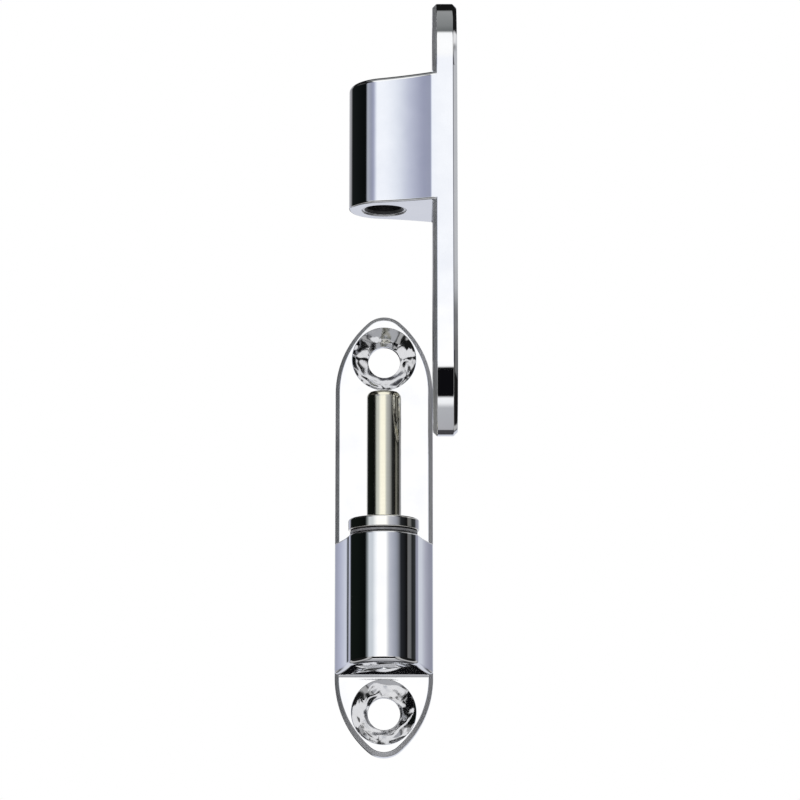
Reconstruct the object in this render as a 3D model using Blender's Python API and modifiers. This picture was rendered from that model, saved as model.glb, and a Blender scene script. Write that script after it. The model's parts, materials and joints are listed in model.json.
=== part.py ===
"""A two-part lift-off pin hinge: a pin leaf below and a socket leaf above, apart on the pin's axis.

Frame: metres, +Z up along the pin. The origin is the centre of the socket leaf's back face, whose
outward normal is +X. The pin leaf's back face looks along +Y.
"""
from math import acos, atan2, cos, pi, radians, sin, tan

import bmesh
import bpy
from mathutils import Vector

MM = 0.001

# Leaves
LEAF_LENGTH = 91.0 * MM
LEAF_WIDTH = 20.0 * MM
LEAF_THICKNESS = 5.0 * MM
LEAF_CHAMFER = 0.85 * MM
POINT_LENGTH = 16.0 * MM  # from the tip to where its arcs meet the straight sides
POINT_STEPS = 12
TIP_ROUND = 5.0 * MM
TIP_STEPS = 6
HOLE_FROM_TIP = 9.0 * MM
SCREW_HOLE_RADIUS = 3.3 * MM
COUNTERSINK_RADIUS = 6.6 * MM

# Barrel blocks
AXIS_TO_LEAF = 9.95 * MM  # from the pin's axis to a leaf's front face
BARREL_RADIUS = 7.15 * MM
BARREL_STEPS = 36
FLANK_RADIUS = 60.0 * MM  # of the hollow flanks between barrel and leaf
FLANK_STEPS = 5
FLANK_INSET = 0.05 * MM  # how far a block's foot stays inside the leaf's side
FLANK_DEPTH = 1.6 * MM  # how deep a block's foot goes into the leaf
END_DRAFT = radians(3.0)
END_ROUND = 1.1 * MM
END_ROUND_STEPS = 3
MATING_ROUND = 0.45 * MM

# The stack between the two blocks when the hinge is together, measured from the leaves' middle
PIN_BLOCK_OUTER = -29.1 * MM
PIN_BLOCK_TOP = -1.9 * MM
STACK_GAP = 0.2 * MM
WASHER_HEIGHT = 0.5 * MM
RING_HEIGHT = 2.3 * MM
SOCKET_BLOCK_OUTER = 28.5 * MM

# Round pieces
PIN_RADIUS = 3.5 * MM
PIN_TIP = 27.4 * MM  # height of the pin's end above the leaf's middle
PIN_TIP_CHAMFER = 0.75 * MM
PIN_TIP_LENGTH = 1.3 * MM
PIN_TIP_STEPS = 4
PIN_FOOT = -25.0 * MM
FIXED_CLEARANCE = 0.02 * MM
RUNNING_CLEARANCE = 0.06 * MM
FLOOR_GAP = 0.3 * MM
DRIFT_HOLE_RADIUS = 1.8 * MM
RING_ROUND = 0.45 * MM
RING_ROUND_STEPS = 3
WASHER_INSET = 0.35 * MM
BUSH_RADIUS = 4.5 * MM
BUSH_RECESS = 0.25 * MM
BUSH_MOUTH = 0.5 * MM
ROUND_STEPS = 64

LIFT = 64.0 * MM  # how far the socket half stands above its seat
CUT_MARGIN = 2.0 * MM
WELD = 0.001 * MM
FLAT_WITHIN = radians(1)
SHARP_FROM = radians(30)
CHAMFER_FROM = radians(60)

RING_FOOT = PIN_BLOCK_TOP + STACK_GAP + WASHER_HEIGHT + STACK_GAP
RING_TOP = RING_FOOT + RING_HEIGHT
SOCKET_BLOCK_FOOT = RING_TOP + STACK_GAP
HALF_LENGTH = LEAF_LENGTH / 2
HALF_WIDTH = LEAF_WIDTH / 2
AXIS_X = -(AXIS_TO_LEAF + LEAF_THICKNESS)

for old in list(bpy.data.objects):
    bpy.data.objects.remove(old, do_unlink=True)


def collection(name):
    made = bpy.data.collections.new(name)
    bpy.context.scene.collection.children.link(made)
    return made


PARTS = collection("lift_off_hinge")
CUTTERS = collection("cutters")


def metal(name, colour, roughness, metallic=1.0):
    material = bpy.data.materials.new(name)
    material.use_nodes = True
    shader = material.node_tree.nodes["Principled BSDF"]
    shader.inputs["Base Color"].default_value = (*colour, 1.0)
    shader.inputs["Roughness"].default_value = roughness
    shader.inputs["Metallic"].default_value = metallic
    return material


def add(name, mesh, place=PARTS):
    obj = bpy.data.objects.new(name, mesh)
    place.objects.link(obj)
    if place is CUTTERS:
        obj.hide_render = True
        obj.display_type = "WIRE"
    return obj


def arc(centre, radius, start, end, steps):
    """Points of an arc in a plane, both ends included."""
    turn = [start + (end - start) * i / steps for i in range(steps + 1)]
    return [(centre[0] + radius * cos(t), centre[1] + radius * sin(t)) for t in turn]


def extruded(name, outline, height):
    """A closed outline in XY, extruded evenly about Z = 0, as a welded mesh."""
    curve = bpy.data.curves.new(name, "CURVE")
    curve.dimensions = "2D"
    curve.fill_mode = "BOTH"
    curve.extrude = height / 2
    spline = curve.splines.new("POLY")
    spline.points.add(len(outline) - 1)
    for point, (x, y) in zip(spline.points, outline):
        point.co = (x, y, 0.0, 1.0)
    spline.use_cyclic_u = True
    guide = bpy.data.objects.new(name + "_outline", curve)
    CUTTERS.objects.link(guide)
    bpy.context.view_layer.update()
    evaluated = guide.evaluated_get(bpy.context.evaluated_depsgraph_get())
    mesh = bpy.data.meshes.new_from_object(evaluated)
    bpy.data.objects.remove(guide, do_unlink=True)
    shape = bmesh.new()
    shape.from_mesh(mesh)
    bmesh.ops.remove_doubles(shape, verts=shape.verts, dist=WELD)
    bmesh.ops.dissolve_limit(shape, angle_limit=FLAT_WITHIN, verts=shape.verts, edges=shape.edges)
    bmesh.ops.recalc_face_normals(shape, faces=shape.faces)
    shape.to_mesh(mesh)
    shape.free()
    return mesh


def turned(name, profile, place=PARTS, closed=False):
    """A profile of (radius, height) points turned about Z. It runs down its outer side."""
    mesh = bpy.data.meshes.new(name)
    edges = [(i, i + 1) for i in range(len(profile) - 1)]
    if closed:
        edges.append((len(profile) - 1, 0))
    mesh.from_pydata([(r, 0.0, z) for r, z in profile], edges, [])
    obj = add(name, mesh, place)
    screw = obj.modifiers.new("turn", "SCREW")
    screw.axis = "Z"
    screw.steps = screw.render_steps = ROUND_STEPS
    screw.use_merge_vertices = True
    screw.merge_threshold = WELD
    screw.use_smooth_shade = True
    return obj


def boolean(obj, cutter, operation="DIFFERENCE"):
    modifier = obj.modifiers.new(cutter.name, "BOOLEAN")
    modifier.operation = operation
    modifier.solver = "EXACT"
    modifier.object = cutter


def bake(obj):
    """Applies the object's modifiers, so that its mesh is the finished piece."""
    bpy.context.view_layer.update()
    evaluated = obj.evaluated_get(bpy.context.evaluated_depsgraph_get())
    mesh = bpy.data.meshes.new_from_object(evaluated)
    obj.modifiers.clear()
    obj.data = mesh
    mesh.shade_smooth()
    mesh.set_sharp_from_angle(angle=SHARP_FROM)


def leaf_outline():
    """The pointed plate: arcs from the straight sides to a small round at each tip."""
    rest = POINT_LENGTH - TIP_ROUND
    radius = (rest**2 - TIP_ROUND**2 + HALF_WIDTH**2) / (2 * (HALF_WIDTH - TIP_ROUND))
    start = HALF_LENGTH - POINT_LENGTH
    sweep = atan2(rest, radius - HALF_WIDTH)
    right = arc((HALF_WIDTH - radius, start), radius, 0.0, sweep, POINT_STEPS)
    right += arc((0.0, HALF_LENGTH - TIP_ROUND), TIP_ROUND, sweep, pi / 2, TIP_STEPS)[1:]
    upper = right + [(-x, z) for x, z in reversed(right[:-1])]
    return upper + [(x, -z) for x, z in reversed(upper)]


def make_plate(name):
    """The plate upright in XZ, its front face towards -Y at the distance from the axis."""
    mesh = extruded(name, leaf_outline(), LEAF_THICKNESS)
    plate = add(name, mesh)
    middle = AXIS_TO_LEAF + LEAF_THICKNESS / 2
    for vertex in mesh.vertices:
        x, z, depth = vertex.co
        vertex.co = (x, middle - depth, z)
    edge = plate.modifiers.new("chamfer", "BEVEL")
    edge.width = LEAF_CHAMFER
    edge.segments = 1
    edge.limit_method = "ANGLE"
    edge.angle_limit = CHAMFER_FROM
    return plate


def block_outline():
    """The barrel's circle, with hollow flanks that leave it smoothly and run out to the leaf's sides."""
    foot = Vector((HALF_WIDTH - FLANK_INSET, AXIS_TO_LEAF))
    reach = BARREL_RADIUS + FLANK_RADIUS
    spread = acos((reach**2 + foot.length_squared - FLANK_RADIUS**2) / (2 * reach * foot.length))
    touch = atan2(foot.y, foot.x) - spread
    hollow = (reach * cos(touch), reach * sin(touch))
    start = atan2(foot.y - hollow[1], foot.x - hollow[0])
    flank = arc(hollow, FLANK_RADIUS, start, touch + pi, FLANK_STEPS)
    nose = arc((0.0, 0.0), BARREL_RADIUS, touch, -pi - touch, BARREL_STEPS)
    right = [(foot.x, AXIS_TO_LEAF + FLANK_DEPTH)] + flank[:-1]
    return right + nose + [(-x, y) for x, y in reversed(right)]


def make_block(name, mating, outer):
    """A barrel block from its square mating end to its drafted and rounded outer end."""
    height = abs(outer - mating)
    mesh = extruded(name, block_outline(), height)
    middle = (outer + mating) / 2
    away = 1.0 if outer > mating else -1.0
    shape = bmesh.new()
    shape.from_mesh(mesh)
    for vertex in shape.verts:
        vertex.co.z += middle
    weight = shape.edges.layers.float.new("bevel_weight_edge")
    for edge in shape.edges:
        low, high = sorted(v.co.z for v in edge.verts)
        if high - low < height / 2:
            at_outer = abs(high - outer) < height / 2
            edge[weight] = 1.0 if at_outer else MATING_ROUND / END_ROUND
    for vertex in shape.verts:
        if abs(vertex.co.z - outer) < height / 2:
            vertex.co.z -= away * tan(END_DRAFT) * (AXIS_TO_LEAF - vertex.co.y)
    shape.to_mesh(mesh)
    shape.free()
    block = add(name, mesh, CUTTERS)
    edge = block.modifiers.new("round", "BEVEL")
    edge.width = END_ROUND
    edge.segments = END_ROUND_STEPS
    edge.limit_method = "WEIGHT"
    edge.use_clamp_overlap = False
    return block


def cut_screw_holes(leaf):
    """Countersunk through holes near both tips, open towards the barrel's side."""
    cone = COUNTERSINK_RADIUS - SCREW_HOLE_RADIUS
    profile = [
        (0.0, CUT_MARGIN),
        (COUNTERSINK_RADIUS + CUT_MARGIN, CUT_MARGIN),
        (SCREW_HOLE_RADIUS, -cone),
        (SCREW_HOLE_RADIUS, -LEAF_THICKNESS - CUT_MARGIN),
        (0.0, -LEAF_THICKNESS - CUT_MARGIN),
    ]
    for end, side in (("upper", 1), ("lower", -1)):
        cutter = turned(f"{leaf.name}_{end}_hole", profile, CUTTERS)
        cutter.rotation_euler = (radians(90), 0.0, 0.0)
        cutter.location = (0.0, AXIS_TO_LEAF, side * (HALF_LENGTH - HOLE_FROM_TIP))
        boolean(leaf, cutter)


def make_leaf(name, mating, outer, bore):
    """A whole leaf about the pin's axis, with its block joined and its holes cut."""
    leaf = make_plate(name)
    boolean(leaf, make_block(name + "_block", mating, outer), "UNION")
    cut_screw_holes(leaf)
    boolean(leaf, turned(name + "_bore", bore, CUTTERS))
    bake(leaf)
    return leaf


def pin_bore():
    """A blind bore for the pin, with the drift hole through its floor."""
    radius = PIN_RADIUS + FIXED_CLEARANCE
    floor = PIN_FOOT - FLOOR_GAP
    below = PIN_BLOCK_OUTER - CUT_MARGIN
    above = PIN_BLOCK_TOP + CUT_MARGIN
    return [
        (0.0, above),
        (radius, above),
        (radius, floor),
        (DRIFT_HOLE_RADIUS, floor),
        (DRIFT_HOLE_RADIUS, below),
        (0.0, below),
    ]


def bush_bore():
    radius = BUSH_RADIUS + RUNNING_CLEARANCE
    above = SOCKET_BLOCK_OUTER + CUT_MARGIN
    below = SOCKET_BLOCK_FOOT - CUT_MARGIN
    return [(0.0, above), (radius, above), (radius, below), (0.0, below)]


def make_pin():
    """The pin, its tip rounded with a quarter of an ellipse and its foot chamfered."""
    flat, shoulder = PIN_RADIUS - PIN_TIP_CHAMFER, PIN_TIP - PIN_TIP_LENGTH
    nose = [
        (flat + r * PIN_TIP_CHAMFER, shoulder + z * PIN_TIP_LENGTH)
        for r, z in arc((0.0, 0.0), 1.0, pi / 2, 0.0, PIN_TIP_STEPS)
    ]
    foot = [(PIN_RADIUS, PIN_FOOT + PIN_TIP_CHAMFER), (flat, PIN_FOOT), (0.0, PIN_FOOT)]
    return turned("hinge_pin", [(0.0, PIN_TIP)] + nose + foot)


def tube_profile(inner, outer, foot, top, foot_round, top_round):
    """A ring's section with quarter-round outer corners."""
    upper = arc((outer - top_round, top - top_round), top_round, pi / 2, 0.0, RING_ROUND_STEPS)
    lower = arc((outer - foot_round, foot + foot_round), foot_round, 0.0, -pi / 2, RING_ROUND_STEPS)
    return upper + lower + [(inner, foot), (inner, top)]


def make_ring():
    inner = PIN_RADIUS + RUNNING_CLEARANCE
    section = tube_profile(inner, BARREL_RADIUS, RING_FOOT, RING_TOP, RING_ROUND / 2, RING_ROUND)
    return turned("thrust_ring", section, closed=True)


def make_washer():
    inner = PIN_RADIUS + RUNNING_CLEARANCE
    outer = BARREL_RADIUS - WASHER_INSET
    foot = PIN_BLOCK_TOP + STACK_GAP
    top = foot + WASHER_HEIGHT
    section = [(outer, top), (outer, foot), (inner, foot), (inner, top)]
    return turned("ring_washer", section, closed=True)


def make_bush():
    """The liner, with a wide mouth below and its upper end short of the drafted block's top."""
    inner = PIN_RADIUS + RUNNING_CLEARANCE
    foot = SOCKET_BLOCK_FOOT + BUSH_RECESS
    top = SOCKET_BLOCK_OUTER - tan(END_DRAFT) * (AXIS_TO_LEAF + BUSH_RADIUS) - BUSH_RECESS
    section = [
        (BUSH_RADIUS, top),
        (BUSH_RADIUS, foot),
        (inner + BUSH_MOUTH, foot),
        (inner, foot + BUSH_MOUTH),
        (inner, top),
    ]
    return turned("socket_bush", section, closed=True)


def carrier(name, location, turn=0.0):
    """An empty on the pin's axis that places a half."""
    empty = bpy.data.objects.new(name, None)
    empty.empty_display_size = LEAF_WIDTH
    empty.location = location
    empty.rotation_euler = (0.0, 0.0, turn)
    PARTS.objects.link(empty)
    return empty


def dress(obj, material, parent):
    obj.data.materials.clear()
    obj.data.materials.append(material)
    obj.parent = parent


def main():
    chrome = metal("polished_chrome", (0.80, 0.81, 0.84), 0.06)
    socket_chrome = metal("socket_chrome", (0.80, 0.81, 0.84), 0.06)
    stainless = metal("pin_stainless", (0.78, 0.74, 0.66), 0.16)
    ring_steel = metal("ring_stainless", (0.74, 0.71, 0.65), 0.14)
    nylon = metal("washer_nylon", (0.05, 0.05, 0.055), 0.45, 0.0)
    shell_steel = metal("bush_steel", (0.72, 0.71, 0.68), 0.3)

    pin_half = carrier("pin_half", (AXIS_X, 0.0, -LIFT))
    socket_half = carrier("socket_half", (AXIS_X, 0.0, 0.0), radians(-90))

    dress(make_leaf("pin_leaf", PIN_BLOCK_TOP, PIN_BLOCK_OUTER, pin_bore()), chrome, pin_half)
    dress(make_pin(), stainless, pin_half)
    dress(make_washer(), nylon, pin_half)
    dress(make_ring(), ring_steel, pin_half)
    socket = make_leaf("socket_leaf", SOCKET_BLOCK_FOOT, SOCKET_BLOCK_OUTER, bush_bore())
    dress(socket, socket_chrome, socket_half)
    dress(make_bush(), shell_steel, socket_half)


main()
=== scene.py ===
import json
from math import acos, atan2, cos, hypot, pi, radians, sin, tan

import bmesh
import bpy
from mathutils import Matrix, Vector

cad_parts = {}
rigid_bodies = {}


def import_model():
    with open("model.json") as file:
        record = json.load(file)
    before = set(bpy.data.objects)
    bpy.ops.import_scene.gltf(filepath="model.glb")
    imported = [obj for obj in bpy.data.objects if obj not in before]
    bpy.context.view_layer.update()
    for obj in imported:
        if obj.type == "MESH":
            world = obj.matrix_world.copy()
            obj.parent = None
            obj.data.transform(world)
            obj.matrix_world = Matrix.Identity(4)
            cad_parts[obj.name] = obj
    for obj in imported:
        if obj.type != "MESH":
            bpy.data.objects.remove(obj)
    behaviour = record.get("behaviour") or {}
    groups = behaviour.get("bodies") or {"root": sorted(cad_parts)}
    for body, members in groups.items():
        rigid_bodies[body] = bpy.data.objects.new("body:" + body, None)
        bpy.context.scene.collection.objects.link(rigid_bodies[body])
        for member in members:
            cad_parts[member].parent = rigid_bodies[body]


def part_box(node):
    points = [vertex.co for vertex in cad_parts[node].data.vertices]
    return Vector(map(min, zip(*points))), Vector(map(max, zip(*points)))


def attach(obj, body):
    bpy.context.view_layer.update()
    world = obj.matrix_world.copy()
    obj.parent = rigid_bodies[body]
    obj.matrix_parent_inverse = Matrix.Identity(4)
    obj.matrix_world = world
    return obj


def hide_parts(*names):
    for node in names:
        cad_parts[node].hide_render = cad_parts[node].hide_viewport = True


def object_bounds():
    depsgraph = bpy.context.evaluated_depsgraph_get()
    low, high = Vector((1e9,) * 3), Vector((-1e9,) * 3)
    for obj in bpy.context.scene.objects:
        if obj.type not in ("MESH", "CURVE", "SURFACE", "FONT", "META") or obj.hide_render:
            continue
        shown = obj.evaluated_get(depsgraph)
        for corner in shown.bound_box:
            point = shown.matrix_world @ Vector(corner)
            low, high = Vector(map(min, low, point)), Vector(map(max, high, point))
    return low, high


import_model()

MM = 0.001
cad_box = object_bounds()

# Places and sizes that the frame gives
LEAF_LOW, LEAF_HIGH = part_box("pin_leaf")
SOCKET_LOW, SOCKET_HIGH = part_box("socket_leaf")
RING_LOW, RING_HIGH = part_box("thrust_ring")
WASHER_LOW, WASHER_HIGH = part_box("ring_washer")
PIN_LOW, PIN_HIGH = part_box("hinge_pin")
BUSH_LOW, BUSH_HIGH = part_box("socket_bush")

AXIS = (RING_LOW + RING_HIGH) / 2
BARREL_RADIUS = (RING_HIGH.x - RING_LOW.x) / 2
PIN_RADIUS = (PIN_HIGH.x - PIN_LOW.x) / 2
BUSH_RADIUS = (BUSH_HIGH.x - BUSH_LOW.x) / 2
WASHER_RADIUS = (WASHER_HIGH.x - WASHER_LOW.x) / 2
HALF_LENGTH = (LEAF_HIGH.z - LEAF_LOW.z) / 2
HALF_WIDTH = (LEAF_HIGH.x - LEAF_LOW.x) / 2
PIN_HALF_AT = Vector((AXIS.x, AXIS.y, (LEAF_LOW.z + LEAF_HIGH.z) / 2))
SOCKET_HALF_AT = Vector((AXIS.x, AXIS.y, (SOCKET_LOW.z + SOCKET_HIGH.z) / 2))

# Leaves
LEAF_THICKNESS = 5.0 * MM
LEAF_CHAMFER = 0.85 * MM
AXIS_TO_LEAF = LEAF_HIGH.y - AXIS.y - LEAF_THICKNESS
POINT_LENGTH = 16.0 * MM
POINT_STEPS = 44
TIP_ROUND = 5.0 * MM
TIP_STEPS = 10
HOLE_FROM_TIP = 9.0 * MM
SCREW_HOLE_RADIUS = 3.3 * MM
COUNTERSINK_RADIUS = 6.6 * MM
PLATE_CORNER = radians(60)  # the square plate's edges turn by more, and get the chamfer
CHAMFER_SOFTENING = 0.12 * MM
CHAMFER_CORNER = radians(35)  # the chamfer's edges turn by more, and are softened
SOFTENING_STEPS = 3
FOOT_FILLET = 0.35 * MM
FOOT_FILLET_STEPS = 8
LIP_ROUND = 0.22 * MM
LIP_STEPS = 5
LIP_SINK = 0.002 * MM
CRISP = radians(32)  # edges that turn by more stay sharp in the reflections
CHAMFER_LEAN = 0.5  # depth part of a normal, less than a chamfer's
FLAT_LEAN = 0.9  # the same, less than a flat's

# Barrel blocks
BARREL_STEPS = 96
FLANK_RADIUS = 60.0 * MM
FLANK_STEPS = 20
FLANK_INSET = 0.01 * MM
FLANK_DEPTH = 1.6 * MM
END_DRAFT = radians(3.0)
END_ROUND = 1.1 * MM
END_ROUND_STEPS = 8
MATING_ROUND = 0.45 * MM
STACK_GAP = 0.2 * MM
PIN_BLOCK_LENGTH = 27.2 * MM
SOCKET_BLOCK_LENGTH = 27.0 * MM
BUSH_RECESS = 0.25 * MM
BUSH_MOUTH = 0.5 * MM

# Round pieces
ROUND_STEPS = 128
FIXED_CLEARANCE = 0.02 * MM
RUNNING_CLEARANCE = 0.06 * MM
FLOOR_GAP = 0.3 * MM
DRIFT_HOLE_RADIUS = 1.8 * MM
PIN_TIP_CHAMFER = 0.75 * MM
PIN_TIP_LENGTH = 1.3 * MM
PIN_TIP_STEPS = 12
RING_FOOT_ROUND = 0.22 * MM
RING_TOP_ROUND = 0.45 * MM
WASHER_ROUND = 0.1 * MM
CORNER_STEPS = 6
CUT_MARGIN = 2.0 * MM
WELD = 0.001 * MM

# Camera
CAMERA_AT = Vector((-11.68, -700.0, -176.3)) * MM
CAMERA_PITCH = radians(11.17)
CAMERA_LENS = 158.15
SENSOR_WIDTH = 36.0
CLIP_RANGE = (0.01, 50.0)

# Studio
FLOOR_DROP = 90.0 * MM  # below the lowest point of the hinge
FLOOR_SIZE = 8.0
PLAIN_WHITE = (1.0, 1.0, 1.0, 1.0)
# Soft lights: name; side; watts; place from the hinge's middle
LIGHTS = (
    ("soft_key", 0.9, 9.0, (-0.5, -0.7, 1.1)),
    ("soft_fill", 4.0, 60.0, (0.0, 0.0, 3.5)),
)


def collection(name):
    made = bpy.data.collections.new(name)
    bpy.context.scene.collection.children.link(made)
    return made


LOOKS = collection("looks")
TOOLS = collection("tools")


def add(name, mesh, place=LOOKS):
    obj = bpy.data.objects.new(name, mesh)
    place.objects.link(obj)
    return obj


def arc(centre, radius, start, end, steps):
    """Points of an arc in a plane, both ends included."""
    turn = [start + (end - start) * i / steps for i in range(steps + 1)]
    return [(centre[0] + radius * cos(t), centre[1] + radius * sin(t)) for t in turn]


def rounded(points, radius):
    """An open line of points with every inner corner replaced by an arc."""
    made = [points[0]]
    for before, corner, after in zip(points, points[1:], points[2:]):
        corner = Vector(corner)
        back, on = (Vector(before) - corner).normalized(), (Vector(after) - corner).normalized()
        half = back.angle(on) / 2
        centre = corner + (back + on).normalized() * (radius / sin(half))
        first, last = (corner + way * (radius / tan(half)) - centre for way in (back, on))
        start = atan2(first.y, first.x)
        sweep = atan2(first.cross(last), first.dot(last))
        made += arc(centre, radius, start, start + sweep, LIP_STEPS)
    return made + [points[-1]]


def extruded(name, outline, height):
    """A closed outline in XY, extruded evenly about Z = 0, with one face for each cap."""
    shape = bmesh.new()
    ring = [shape.verts.new((x, y, -height / 2)) for x, y in outline]
    cap = shape.faces.new(ring)
    raised = bmesh.ops.extrude_face_region(shape, geom=[cap])["geom"]
    top = [v for v in raised if isinstance(v, bmesh.types.BMVert)]
    bmesh.ops.translate(shape, verts=top, vec=(0.0, 0.0, height))
    bmesh.ops.recalc_face_normals(shape, faces=shape.faces)
    mesh = bpy.data.meshes.new(name)
    shape.to_mesh(mesh)
    shape.free()
    return mesh


def turned(name, profile, place=LOOKS, closed=False):
    """A profile of (radius, height) points turned about Z. It runs down its outer side."""
    mesh = bpy.data.meshes.new(name)
    edges = [(i, i + 1) for i in range(len(profile) - 1)]
    if closed:
        edges.append((len(profile) - 1, 0))
    mesh.from_pydata([(r, 0.0, z) for r, z in profile], edges, [])
    obj = add(name, mesh, place)
    screw = obj.modifiers.new("turn", "SCREW")
    screw.axis = "Z"
    screw.steps = screw.render_steps = ROUND_STEPS
    screw.use_merge_vertices = True
    screw.merge_threshold = WELD
    screw.use_smooth_shade = True
    return obj


def boolean(obj, cutter, operation="DIFFERENCE"):
    modifier = obj.modifiers.new(cutter.name, "BOOLEAN")
    modifier.operation = operation
    modifier.solver = "EXACT"
    modifier.object = cutter


def bevel(obj, width, segments, angle=None):
    modifier = obj.modifiers.new("edges", "BEVEL")
    modifier.width = width
    modifier.segments = segments
    modifier.use_clamp_overlap = False
    modifier.limit_method = "WEIGHT" if angle is None else "ANGLE"
    if angle is not None:
        modifier.angle_limit = angle


def bake(obj):
    """Applies the object's modifiers."""
    bpy.context.view_layer.update()
    evaluated = obj.evaluated_get(bpy.context.evaluated_depsgraph_get())
    mesh = bpy.data.meshes.new_from_object(evaluated)
    obj.modifiers.clear()
    obj.data = mesh


def settle(obj):
    """Applies the modifiers and keeps flat faces flat and straight sides straight in the reflections."""
    bake(obj)
    obj.data.shade_smooth()
    shape = bmesh.new()
    shape.from_mesh(obj.data)
    for edge in shape.edges:
        edge.smooth = edge.calc_face_angle(0.0) < CRISP
    shape.to_mesh(obj.data)
    shape.free()
    weighted = obj.modifiers.new("flats", "WEIGHTED_NORMAL")
    weighted.keep_sharp = True
    bake(obj)


def leaf_outline():
    """The pointed plate: arcs from the straight sides to a small round at each tip."""
    rest = POINT_LENGTH - TIP_ROUND
    radius = (rest**2 - TIP_ROUND**2 + HALF_WIDTH**2) / (2 * (HALF_WIDTH - TIP_ROUND))
    start = HALF_LENGTH - POINT_LENGTH
    sweep = atan2(rest, radius - HALF_WIDTH)
    right = arc((HALF_WIDTH - radius, start), radius, 0.0, sweep, POINT_STEPS)
    right += arc((0.0, HALF_LENGTH - TIP_ROUND), TIP_ROUND, sweep, pi / 2, TIP_STEPS)[1:]
    upper = right + [(-x, z) for x, z in reversed(right[:-1])]
    return upper + [(x, -z) for x, z in reversed(upper)]


def make_plate(name):
    """The plate upright in XZ, its front face towards -Y at the distance from the axis."""
    mesh = extruded(name, leaf_outline(), LEAF_THICKNESS)
    middle = AXIS_TO_LEAF + LEAF_THICKNESS / 2
    for vertex in mesh.vertices:
        x, z, depth = vertex.co
        vertex.co = (x, middle - depth, z)
    plate = add(name, mesh)
    bevel(plate, LEAF_CHAMFER, 1, PLATE_CORNER)
    bevel(plate, CHAMFER_SOFTENING, SOFTENING_STEPS, CHAMFER_CORNER)
    bake(plate)
    return plate


def block_outline():
    """The barrel's circle, with hollow flanks that leave it smoothly and run out to the leaf's sides."""
    foot = Vector((HALF_WIDTH - FLANK_INSET, AXIS_TO_LEAF))
    reach = BARREL_RADIUS + FLANK_RADIUS
    spread = acos((reach**2 + foot.length_squared - FLANK_RADIUS**2) / (2 * reach * foot.length))
    touch = atan2(foot.y, foot.x) - spread
    hollow = (reach * cos(touch), reach * sin(touch))
    start = atan2(foot.y - hollow[1], foot.x - hollow[0])
    flank = arc(hollow, FLANK_RADIUS, start, touch + pi, FLANK_STEPS)
    nose = arc((0.0, 0.0), BARREL_RADIUS, touch, -pi - touch, BARREL_STEPS)
    right = [(foot.x, AXIS_TO_LEAF + FLANK_DEPTH)] + flank[:-1]
    return right + nose + [(-x, y) for x, y in reversed(right)]


def make_block(name, mating, outer):
    """A barrel block from its square mating end to its drafted and rounded outer end."""
    height = abs(outer - mating)
    mesh = extruded(name, block_outline(), height)
    middle = (outer + mating) / 2
    away = 1.0 if outer > mating else -1.0
    shape = bmesh.new()
    shape.from_mesh(mesh)
    for vertex in shape.verts:
        vertex.co.z += middle
    weight = shape.edges.layers.float.new("bevel_weight_edge")
    for edge in shape.edges:
        low, high = sorted(v.co.z for v in edge.verts)
        if high - low < height / 2:
            at_outer = abs(high - outer) < height / 2
            edge[weight] = 1.0 if at_outer else MATING_ROUND / END_ROUND
    for vertex in shape.verts:
        if abs(vertex.co.z - outer) < height / 2:
            vertex.co.z -= away * tan(END_DRAFT) * (AXIS_TO_LEAF - vertex.co.y)
    shape.to_mesh(mesh)
    shape.free()
    block = add(name, mesh, TOOLS)
    bevel(block, END_ROUND, END_ROUND_STEPS)
    return block


def make_foot_fillet(name, height, away):
    """A hollow wedge in the corner between the plate and one end of its block."""
    edge = AXIS_TO_LEAF
    hollow = (edge - FOOT_FILLET, height + away * FOOT_FILLET)
    curve = arc(hollow, FOOT_FILLET, 0.0, -away * pi / 2, FOOT_FILLET_STEPS)
    inside = (edge + FOOT_FILLET, height - away * FOOT_FILLET)
    section = [(edge + FOOT_FILLET, hollow[1])] + curve + [(hollow[0], inside[1]), inside]
    mesh = extruded(name, section, 2 * (HALF_WIDTH - LEAF_CHAMFER))
    for vertex in mesh.vertices:
        depth, z, across = vertex.co
        vertex.co = (across, depth, z)
    shape = bmesh.new()
    shape.from_mesh(mesh)
    bmesh.ops.recalc_face_normals(shape, faces=shape.faces)
    shape.to_mesh(mesh)
    shape.free()
    return add(name, mesh, TOOLS)


def cut_screw_holes(leaf):
    """Countersunk through holes near both tips, open towards the barrel's side."""
    cone = COUNTERSINK_RADIUS - SCREW_HOLE_RADIUS
    profile = rounded(
        [
            (COUNTERSINK_RADIUS + CUT_MARGIN, -LIP_SINK),
            (COUNTERSINK_RADIUS, -LIP_SINK),
            (SCREW_HOLE_RADIUS, -cone),
            (SCREW_HOLE_RADIUS, LIP_SINK - LEAF_THICKNESS),
            (SCREW_HOLE_RADIUS + CUT_MARGIN, LIP_SINK - LEAF_THICKNESS),
        ],
        LIP_ROUND,
    )[1:-1]
    top, bottom = profile[0][0], profile[-1][0]
    profile = [(0.0, CUT_MARGIN), (top, CUT_MARGIN)] + profile
    profile += [(bottom, -LEAF_THICKNESS - CUT_MARGIN), (0.0, -LEAF_THICKNESS - CUT_MARGIN)]
    for end, side in (("upper", 1), ("lower", -1)):
        cutter = turned(f"{leaf.name}_{end}_hole", profile, TOOLS)
        cutter.rotation_euler = (radians(90), 0.0, 0.0)
        cutter.location = (0.0, AXIS_TO_LEAF, side * (HALF_LENGTH - HOLE_FROM_TIP))
        boolean(leaf, cutter)


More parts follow.
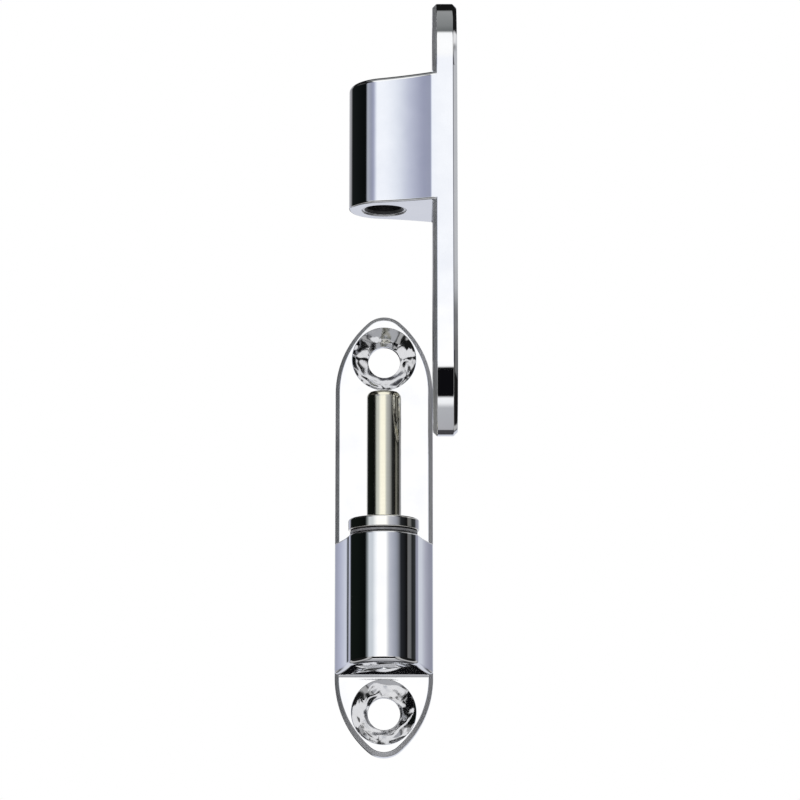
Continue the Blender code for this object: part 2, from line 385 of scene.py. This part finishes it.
def make_leaf(name, mating, outer, bore):
    """A whole leaf about the pin's axis, with its block joined and its holes cut."""
    leaf = make_plate(name)
    away = 1.0 if outer > mating else -1.0
    boolean(leaf, make_block(name + "_block", mating, outer), "UNION")
    boolean(leaf, make_foot_fillet(name + "_outer_fillet", outer, away), "UNION")
    boolean(leaf, make_foot_fillet(name + "_mating_fillet", mating, -away), "UNION")
    cut_screw_holes(leaf)
    boolean(leaf, turned(name + "_bore", bore, TOOLS))
    settle(leaf)
    return leaf


def sort_faces(leaf):
    """Gives the screw holes, the plate's front chamfer and its back the looks of their own."""
    behind = AXIS_TO_LEAF + LEAF_THICKNESS / 2
    for face in leaf.data.polygons:
        x, y, z = face.center
        from_hole = hypot(x, abs(z) - HALF_LENGTH + HOLE_FROM_TIP)
        if face.normal.y > FLAT_LEAN and y > behind:
            face.material_index = BACK_LOOK
        elif -face.normal.y > FLAT_LEAN or y < AXIS_TO_LEAF - LIP_SINK:
            continue
        elif from_hole < COUNTERSINK_RADIUS:
            face.material_index = HOLE_LOOK
        elif -face.normal.y > CHAMFER_LEAN:
            face.material_index = EDGE_LOOK


def pin_bore(mating, outer):
    """A blind bore for the pin, with the drift hole through its floor."""
    radius = PIN_RADIUS + FIXED_CLEARANCE
    floor = PIN_LOW.z - PIN_HALF_AT.z - FLOOR_GAP
    above, below = mating + CUT_MARGIN, outer - CUT_MARGIN
    return [
        (0.0, above),
        (radius, above),
        (radius, floor),
        (DRIFT_HOLE_RADIUS, floor),
        (DRIFT_HOLE_RADIUS, below),
        (0.0, below),
    ]


def bush_bore(mating, outer):
    """A bore right through for the bush, with a rounded lip at the mating end."""
    radius = BUSH_RADIUS + RUNNING_CLEARANCE
    above, below = outer + CUT_MARGIN, mating - CUT_MARGIN
    face = mating + LIP_SINK
    lip = rounded([(radius, above), (radius, face), (radius + CUT_MARGIN, face)], LIP_ROUND)
    return [(0.0, above)] + lip[:-1] + [(lip[-2][0], below), (0.0, below)]


def make_pin(foot, tip):
    """The pin, its tip an ellipse's quarter and its foot chamfered."""
    flat, shoulder = PIN_RADIUS - PIN_TIP_CHAMFER, tip - PIN_TIP_LENGTH
    nose = [
        (flat + r * PIN_TIP_CHAMFER, shoulder + z * PIN_TIP_LENGTH)
        for r, z in arc((0.0, 0.0), 1.0, pi / 2, 0.0, PIN_TIP_STEPS)
    ]
    base = [(PIN_RADIUS, foot + PIN_TIP_CHAMFER), (flat, foot), (0.0, foot)]
    return turned("hinge_pin_turned", [(0.0, tip)] + nose + base)


def tube_profile(inner, outer, foot, top, foot_round, top_round):
    """A ring's section with quarter-round outer corners and small inner chamfers."""
    nick = foot_round / 2
    upper = arc((outer - top_round, top - top_round), top_round, pi / 2, 0.0, CORNER_STEPS)
    lower = arc((outer - foot_round, foot + foot_round), foot_round, 0.0, -pi / 2, CORNER_STEPS)
    hole = [(inner + nick, foot), (inner, foot + nick), (inner, top - nick), (inner + nick, top)]
    return upper + lower + hole


def make_bush(foot, top):
    """The liner, with a wide mouth below and a small chamfer at its upper end."""
    inner = PIN_RADIUS + RUNNING_CLEARANCE
    nick = BUSH_MOUTH / 2
    section = [(BUSH_RADIUS, top), (BUSH_RADIUS, foot), (inner + BUSH_MOUTH, foot)]
    section += [(inner, foot + BUSH_MOUTH), (inner, top - nick), (inner + nick, top)]
    return turned("socket_bush_turned", section, closed=True)


def paint_bore_shade(bush):
    """Gives the bush's bore and both its mouths a near-black look: painted shade in the bore."""
    for face in bush.data.polygons:
        x, y, _ = face.center
        if hypot(x, y) < PIN_RADIUS + RUNNING_CLEARANCE + BUSH_MOUTH:
            face.material_index = BORE_PAINTED_SHADE_LOOK


# Materials

# A leaf's looks by their place in its list, after the polished one; and the bush's, after its shell
HOLE_LOOK, EDGE_LOOK, BACK_LOOK = 1, 2, 3
BORE_PAINTED_SHADE_LOOK = 1

# Colours: the darker and the lighter end of each mottle; then the middle roughness
CHROME_PLATE = (0.93, 0.935, 0.95)
CHROME_MOTTLE = ((0.90, 0.905, 0.925), (0.96, 0.96, 0.968))
PIN_STEEL = ((0.86, 0.82, 0.66), (0.94, 0.91, 0.76), 0.12)
RING_STEEL = ((0.92, 0.90, 0.85), (1.0, 0.985, 0.94), 0.06)
BUSH_STEEL = ((0.80, 0.80, 0.79), (0.92, 0.92, 0.91), 0.3)
# Near black on the bush's bore and mouths: painted shade in the hole, not the bush's own colour.
BUSH_BORE_PAINTED_SHADE = ((0.012, 0.012, 0.013), (0.03, 0.03, 0.032), 0.35)
WASHER_NYLON = ((0.17, 0.17, 0.175), (0.26, 0.26, 0.265), 0.4)
FLOOR_PAPER = ((0.84, 0.84, 0.85), (0.88, 0.88, 0.89), 0.7)

# Textures: waves for each metre
CHROME_HAZE = 190.0
TURNING_MARKS = (40.0, 40.0, 9000.0)  # across the axis twice, and along it
STEEL_CLOUDS = 260.0
PLASTIC_MOTTLE = 600.0
PLASTIC_GRAIN = 9000.0
PAPER_GRAIN = 40.0
LINE_STRETCH = (1.0, 1.0, 0.05)  # polishing lines run along the leaf
SECOND_SHARE = 0.5  # how much a second texture adds to the first in a roughness

# Relief
TURNING_DEPTH = 0.002 * MM
PLASTIC_DEPTH = 0.01 * MM


class Nodes:
    """A small builder of node trees."""

    def __init__(self, tree):
        self.tree = tree

    def make(self, kind, **values):
        node = self.tree.nodes.new(kind)
        for key, value in values.items():
            if key in node.inputs:
                node.inputs[key].default_value = value
            else:
                setattr(node, key, value)
        return node

    def link(self, source, target):
        self.tree.links.new(source, target)


def material(name, colour, metallic, roughness):
    made = bpy.data.materials.new(name)
    made.use_nodes = True
    shader = made.node_tree.nodes["Principled BSDF"]
    shader.inputs["Base Color"].default_value = (*colour, 1.0)
    shader.inputs["Metallic"].default_value = metallic
    shader.inputs["Roughness"].default_value = roughness
    return made, Nodes(made.node_tree), shader


def noise(nodes, coords, scale, detail=4.0, stretch=None):
    """A noise texture over the object's own coordinates, in waves for each metre."""
    texture = nodes.make("ShaderNodeTexNoise", Scale=scale, Detail=detail)
    if stretch is None:
        nodes.link(coords, texture.inputs["Vector"])
    else:
        mapping = nodes.make("ShaderNodeMapping", Scale=stretch)
        nodes.link(coords, mapping.inputs["Vector"])
        nodes.link(mapping.outputs["Vector"], texture.inputs["Vector"])
    return texture.outputs["Fac"]


def ramp(nodes, source, low, high, start=0.3, end=0.7):
    """Maps a texture to a range of numbers."""
    node = nodes.make("ShaderNodeMapRange")
    for key, value in (("From Min", start), ("From Max", end), ("To Min", low), ("To Max", high)):
        node.inputs[key].default_value = value
    nodes.link(source, node.inputs["Value"])
    return node.outputs["Result"]


def tint(nodes, source, dark, light):
    node = nodes.make("ShaderNodeMix", data_type="RGBA")
    node.inputs["A"].default_value = (*dark, 1.0)
    node.inputs["B"].default_value = (*light, 1.0)
    nodes.link(source, node.inputs["Factor"])
    return node.outputs["Result"]


def bump(nodes, shader, height, depth, strength=1.0):
    node = nodes.make("ShaderNodeBump", Strength=strength, Distance=depth)
    nodes.link(height, node.inputs["Height"])
    nodes.link(node.outputs["Normal"], shader.inputs["Normal"])


def add_two(nodes, first, second, share=SECOND_SHARE):
    """The first texture with a share of the second."""
    node = nodes.make("ShaderNodeMath", operation="MULTIPLY_ADD")
    nodes.link(second, node.inputs[0])
    node.inputs[1].default_value = share
    nodes.link(first, node.inputs[2])
    return node.outputs[0]


def chrome(
    name, waves=160.0, depth=0.012 * MM, rough=(0.02, 0.075), shade=1.0, lines=900.0, brush=0.02
):
    """Bright plate on a casting: waves, lines from polishing or a belt, and a little haze.

    Waves and lines are counted for each metre. Brush is the lines' share of the relief. The shade factor
    scales the colour down: painted shade where it is below one.
    """
    made, nodes, shader = material(name, CHROME_PLATE, 1.0, rough[0])
    coords = nodes.make("ShaderNodeTexCoord").outputs["Object"]
    haze = noise(nodes, coords, CHROME_HAZE, 3.0)
    hairlines = noise(nodes, coords, lines, 5.0, LINE_STRETCH)
    waviness = noise(nodes, coords, waves, 1.0)
    # A shade factor below one darkens both mottle colours: painted shade.
    dull, bright = ([shade * part for part in colour] for colour in CHROME_MOTTLE)
    mottled = tint(nodes, ramp(nodes, haze, 0.0, 1.0), dull, bright)
    nodes.link(mottled, shader.inputs["Base Color"])
    dullness = ramp(nodes, add_two(nodes, haze, hairlines), *rough, 0.4, 1.1)
    nodes.link(dullness, shader.inputs["Roughness"])
    bump(nodes, shader, add_two(nodes, waviness, hairlines, brush), depth)
    return made


def leaf_looks(name):
    """Polished faces, rippled screw holes darkened with painted shade, satin edges and a belt-ground
    back.
    """
    return [
        chrome(name),
        # The screw holes' colour is scaled to 0.88: painted shade in the countersinks.
        chrome(name + "_holes", waves=250.0, depth=0.70 * MM, rough=(0.05, 0.12), shade=0.88),
        chrome(name + "_edges", rough=(0.55, 0.68)),
        chrome(name + "_back", rough=(0.30, 0.38), lines=2600.0, brush=0.5),
    ]


def stainless(name, dark, light, rough):
    """Turned stainless: rings of fine tool marks about the axis under a bright polish."""
    made, nodes, shader = material(name, light, 1.0, rough)
    coords = nodes.make("ShaderNodeTexCoord").outputs["Object"]
    turning = noise(nodes, coords, 1.0, 6.0, TURNING_MARKS)
    cloud = noise(nodes, coords, STEEL_CLOUDS, 3.0)
    nodes.link(tint(nodes, ramp(nodes, turning, 0.0, 1.0), dark, light), shader.inputs["Base Color"])
    dullness = ramp(nodes, add_two(nodes, cloud, turning), rough * 0.7, rough * 1.4, 0.5, 1.0)
    nodes.link(dullness, shader.inputs["Roughness"])
    bump(nodes, shader, turning, TURNING_DEPTH)
    return made


def plastic(name, dark, light, rough):
    """Machined polymer: a soft mottle with shallow grain."""
    made, nodes, shader = material(name, light, 0.0, rough)
    coords = nodes.make("ShaderNodeTexCoord").outputs["Object"]
    mottle = noise(nodes, coords, PLASTIC_MOTTLE, 5.0)
    grain = noise(nodes, coords, PLASTIC_GRAIN, 3.0)
    nodes.link(tint(nodes, ramp(nodes, mottle, 0.0, 1.0), dark, light), shader.inputs["Base Color"])
    nodes.link(ramp(nodes, grain, rough * 0.8, rough * 1.2), shader.inputs["Roughness"])
    bump(nodes, shader, grain, PLASTIC_DEPTH)
    return made


def finish_piece(piece, looks, body, node):
    for look in looks:
        piece.data.materials.append(look)
    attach(piece, body)
    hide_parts(node)


def finish_leaf(leaf, body, node):
    slot = node + "_chrome"
    finish_piece(leaf, leaf_looks(slot), body, node)
    sort_faces(leaf)


def finish_turned(piece, at, looks, body, node):
    piece.location = at
    settle(piece)
    finish_piece(piece, looks, body, node)


def make_pin_leaf():
    mating = WASHER_LOW.z - STACK_GAP - PIN_HALF_AT.z
    outer = mating - PIN_BLOCK_LENGTH
    leaf = make_leaf("pin_leaf_cast", mating, outer, pin_bore(mating, outer))
    leaf.location = PIN_HALF_AT
    finish_leaf(leaf, "pin_half", "pin_leaf")


def make_socket_leaf():
    mating = BUSH_LOW.z - BUSH_RECESS - SOCKET_HALF_AT.z
    outer = mating + SOCKET_BLOCK_LENGTH
    leaf = make_leaf("socket_leaf_cast", mating, outer, bush_bore(mating, outer))
    leaf.rotation_euler = (0.0, 0.0, radians(-90))
    leaf.location = SOCKET_HALF_AT
    finish_leaf(leaf, "socket_half", "socket_leaf")


def make_pin_stack():
    """The pin, the ring that carries the socket half, and the washer under it."""
    at = PIN_HALF_AT.z
    inner = PIN_RADIUS + RUNNING_CLEARANCE
    pin = make_pin(PIN_LOW.z - at, PIN_HIGH.z - at)
    look = stainless("pin_stainless", *PIN_STEEL)
    finish_turned(pin, PIN_HALF_AT, [look], "pin_half", "hinge_pin")

    foot, top = RING_LOW.z - at, RING_HIGH.z - at
    section = tube_profile(inner, BARREL_RADIUS, foot, top, RING_FOOT_ROUND, RING_TOP_ROUND)
    ring = turned("thrust_ring_turned", section, closed=True)
    look = stainless("ring_stainless", *RING_STEEL)
    finish_turned(ring, PIN_HALF_AT, [look], "pin_half", "thrust_ring")

    foot, top = WASHER_LOW.z - at, WASHER_HIGH.z - at
    section = tube_profile(inner, WASHER_RADIUS, foot, top, WASHER_ROUND, WASHER_ROUND)
    washer = turned("ring_washer_cut", section, closed=True)
    look = plastic("washer_nylon", *WASHER_NYLON)
    finish_turned(washer, PIN_HALF_AT, [look], "pin_half", "ring_washer")


def make_socket_bush():
    at = SOCKET_HALF_AT.z
    bush = make_bush(BUSH_LOW.z - at, BUSH_HIGH.z - at)
    # The bore and mouths get a near-black plastic look: painted shade in the hole.
    looks = [stainless("bush_steel", *BUSH_STEEL), plastic("bush_bore_painted_shade", *BUSH_BORE_PAINTED_SHADE)]
    finish_turned(bush, SOCKET_HALF_AT, looks, "bush", "socket_bush")
    paint_bore_shade(bush)


def make_hinge():
    make_pin_leaf()
    make_socket_leaf()
    make_pin_stack()
    make_socket_bush()
    for tool in list(TOOLS.objects):
        bpy.data.objects.remove(tool, do_unlink=True)


# Studio

# Walls of the room by bearing: (degrees from the camera's side, right positive; red; green; blue).
# The lower hinge half sees LOW_WALLS and the upper one sees HIGH_WALLS.
LOW_WALLS = (
    (-180, 0.006, 0.008, 0.007),
    (-160, 0.006, 0.008, 0.007),
    (-157, 0.62, 0.65, 0.75),
    (-146, 0.42, 0.44, 0.56),
    (-138, 0.27, 0.28, 0.34),
    (-134, 0.006, 0.008, 0.007),
    (-95, 0.005, 0.007, 0.006),
    (-61, 0.003, 0.004, 0.004),
    (-53, 0.25, 0.28, 0.29),
    (-48, 0.60, 0.64, 0.68),
    (-36, 0.62, 0.66, 0.70),
    (-27, 0.90, 0.93, 0.96),
    (-19, 1.08, 1.08, 1.08),
    (7, 1.08, 1.08, 1.08),
    (14, 0.68, 0.70, 0.73),
    (20, 0.50, 0.52, 0.59),
    (40, 0.31, 0.33, 0.39),
    (49, 0.19, 0.20, 0.23),
    (57, 0.02, 0.022, 0.026),
    (82, 0.004, 0.004, 0.004),
    (86, 0.15, 0.15, 0.15),
    (98, 0.14, 0.145, 0.15),
    (104, 0.018, 0.02, 0.021),
    (123, 0.03, 0.033, 0.035),
    (132, 0.28, 0.29, 0.36),
    (144, 0.29, 0.30, 0.37),
    (149, 0.39, 0.40, 0.48),
    (156, 0.60, 0.63, 0.70),
    (180, 0.66, 0.68, 0.76),
)
HIGH_WALLS = (
    (-180, 0.52, 0.52, 0.55),
    (-143, 0.34, 0.34, 0.36),
    (-130, 0.008, 0.01, 0.01),
    (-62, 0.003, 0.004, 0.004),
    (-56, 0.39, 0.42, 0.48),
    (-43, 0.31, 0.33, 0.42),
    (-36, 0.34, 0.36, 0.48),
    (-31, 0.53, 0.56, 0.68),
    (-26, 0.80, 0.84, 0.92),
    (-22, 0.93, 0.96, 1.02),
    (8, 0.97, 0.99, 1.03),
    (16, 0.60, 0.62, 0.68),
    (45, 0.33, 0.34, 0.40),
    (53, 0.01, 0.01, 0.01),
    (83, 0.01, 0.01, 0.01),
    (88, 0.50, 0.51, 0.53),
    (110, 0.50, 0.51, 0.53),
    (180, 0.52, 0.52, 0.55),
)
# Above and below, by the angle over the front: (degrees up from the camera's side; red; green; blue)
VAULT = (
    (-180, 0.68, 0.70, 0.78),
    (-150, 0.60, 0.62, 0.68),
    (-145, 0.05, 0.05, 0.055),
    (-108, 0.06, 0.06, 0.065),
    (-104, 0.40, 0.40, 0.42),
    (-60, 0.45, 0.46, 0.48),
    (-54, 0.90, 0.91, 0.92),
    (-48, 0.95, 0.96, 0.97),
    (-45, 0.004, 0.004, 0.005),
    (-11, 0.004, 0.004, 0.005),
    (-9.5, 1.05, 1.05, 1.05),
    (61, 1.02, 1.03, 1.03),
    (64, 0.14, 0.15, 0.15),
    (73, 0.22, 0.23, 0.23),
    (98, 0.29, 0.30, 0.30),
    (101, 0.29, 0.30, 0.30),
    (104, 0.008, 0.008, 0.008),
    (149, 0.008, 0.008, 0.008),
    (154, 0.55, 0.56, 0.58),
    (180, 0.60, 0.62, 0.68),
)
# What closes the vault on both sides: (sideways part of a direction; grey)
FLAGS = (
    (-1.0, 0.10),
    (-0.82, 0.10),
    (-0.78, 0.01),
    (0.74, 0.01),
    (0.77, 0.80),
    (0.84, 0.80),
    (0.87, 0.06),
    (1.0, 0.06),
)
# The same below the horizon, where a pale ground lies on both sides
GROUND = (
    (-1.0, 0.01),
    (-0.80, 0.01),
    (-0.77, 0.45),
    (-0.62, 0.42),
    (-0.58, 0.01),
    (0.58, 0.01),
    (0.62, 0.42),
    (0.77, 0.45),
    (0.80, 0.01),
    (1.0, 0.01),
)
LEVEL_BREAK = (12.2, 13.4)  # degrees up, where HIGH_WALLS take over from LOW_WALLS
VAULT_FOOT = (24.0, 34.0)  # degrees up, where the vault takes over from the walls
PIT_EDGE = (-5.0, -1.5)  # degrees up, where the vault's lower half takes over
FLAG_EDGE = (0.46, 0.60)  # sideways part of a direction, where the sides take over from the vault


def math_node(nodes, operation, *values):
    node = nodes.make("ShaderNodeMath", operation=operation)
    for socket, value in zip(node.inputs, values):
        if isinstance(value, (int, float)):
            socket.default_value = value
        else:
            nodes.link(value, socket)
    return node.outputs[0]


def colour_stops(nodes, source, whole, stops):
    """Colours along a quantity that runs from minus half of the whole to plus half of it."""
    node = nodes.make("ShaderNodeValToRGB")
    elements = node.color_ramp.elements
    while len(elements) < len(stops):
        elements.new(0.5)
    for element, (place, *colour) in zip(elements, stops):
        element.position = place / whole + 0.5
        element.color = (colour[0], colour[len(colour) // 2], colour[-1], 1.0)
    nodes.link(math_node(nodes, "MULTIPLY_ADD", source, 1.0 / whole, 0.5), node.inputs["Fac"])
    return node.outputs["Color"]


def step(nodes, source, start, end):
    node = nodes.make("ShaderNodeMapRange", interpolation_type="SMOOTHSTEP")
    node.inputs["From Min"].default_value = start
    node.inputs["From Max"].default_value = end
    nodes.link(source, node.inputs["Value"])
    return node.outputs["Result"]


def mixed(nodes, share, first, second):
    """One colour going over to another. Either may be an output or a plain colour."""
    node = nodes.make("ShaderNodeMix", data_type="RGBA")
    nodes.link(share, node.inputs["Factor"])
    for socket, value in ((node.inputs["A"], first), (node.inputs["B"], second)):
        if isinstance(value, tuple):
            socket.default_value = value
        else:
            nodes.link(value, socket)
    return node.outputs["Result"]


def make_room():
    """A surround of white softboxes, black flags and pale walls; the camera itself sees plain white."""
    world = bpy.data.worlds.new("studio")
    bpy.context.scene.world = world
    world.use_nodes = True
    world.node_tree.nodes.clear()
    nodes = Nodes(world.node_tree)
    parts = nodes.make("ShaderNodeSeparateXYZ")
    nodes.link(nodes.make("ShaderNodeTexCoord").outputs["Generated"], parts.inputs[0])
    side, depth, height = parts.outputs
    front = math_node(nodes, "MULTIPLY", depth, -1.0)
    bearing = math_node(nodes, "DEGREES", math_node(nodes, "ARCTAN2", side, front))
    over = math_node(nodes, "DEGREES", math_node(nodes, "ARCTAN2", height, front))

    low = colour_stops(nodes, bearing, 360, LOW_WALLS)
    high = colour_stops(nodes, bearing, 360, HIGH_WALLS)
    level = [sin(radians(degrees)) for degrees in LEVEL_BREAK]
    walls = mixed(nodes, step(nodes, height, *level), low, high)
    flags = step(nodes, math_node(nodes, "ABSOLUTE", side), *FLAG_EDGE)
    arch = colour_stops(nodes, over, 360, VAULT)
    above = mixed(nodes, flags, arch, colour_stops(nodes, side, 2, FLAGS))
    below = mixed(nodes, flags, arch, colour_stops(nodes, side, 2, GROUND))
    foot = [sin(radians(degrees)) for degrees in VAULT_FOOT]
    upper = mixed(nodes, step(nodes, height, *foot), walls, above)
    pit = [sin(radians(degrees)) for degrees in PIT_EDGE]
    room = mixed(nodes, step(nodes, height, *pit), below, upper)
    camera = nodes.make("ShaderNodeLightPath").outputs["Is Camera Ray"]
    background = nodes.make("ShaderNodeBackground", Strength=1.0)
    nodes.link(mixed(nodes, camera, room, PLAIN_WHITE), background.inputs["Color"])
    output = nodes.make("ShaderNodeOutputWorld")
    nodes.link(background.outputs[0], output.inputs["Surface"])


def make_floor():
    under = (AXIS.x, AXIS.y, LEAF_LOW.z - FLOOR_DROP)
    bpy.ops.mesh.primitive_plane_add(size=FLOOR_SIZE, location=under)
    floor = bpy.context.object
    floor.name = "floor"
    dark, light, rough = FLOOR_PAPER
    made, nodes, shader = material("floor_paper", light, 0.0, rough)
    coords = nodes.make("ShaderNodeTexCoord").outputs["Object"]
    grain = noise(nodes, coords, PAPER_GRAIN)
    nodes.link(tint(nodes, grain, dark, light), shader.inputs["Base Color"])
    floor.data.materials.append(made)
    floor.visible_glossy = False


def make_light(name, size, power, at, aim):
    data = bpy.data.lights.new(name, "AREA")
    data.shape = "SQUARE"
    data.size = size
    data.energy = power
    light = bpy.data.objects.new(name, data)
    bpy.context.scene.collection.objects.link(light)
    light.location = at
    light.rotation_euler = (aim - at).to_track_quat("-Z", "Y").to_euler()
    light.visible_glossy = False


def make_camera():
    data = bpy.data.cameras.new("camera")
    data.lens = CAMERA_LENS
    data.sensor_width = SENSOR_WIDTH
    data.clip_start, data.clip_end = CLIP_RANGE
    camera = bpy.data.objects.new("camera", data)
    bpy.context.scene.collection.objects.link(camera)
    camera.location = CAMERA_AT
    camera.rotation_euler = (radians(90) + CAMERA_PITCH, 0.0, 0.0)
    bpy.context.scene.camera = camera


make_hinge()
make_room()
make_floor()
middle = (cad_box[0] + cad_box[1]) / 2
for name, size, power, offset in LIGHTS:
    make_light(name, size, power, middle + Vector(offset), middle)
make_camera()
bpy.context.scene.view_settings.view_transform = "Standard"
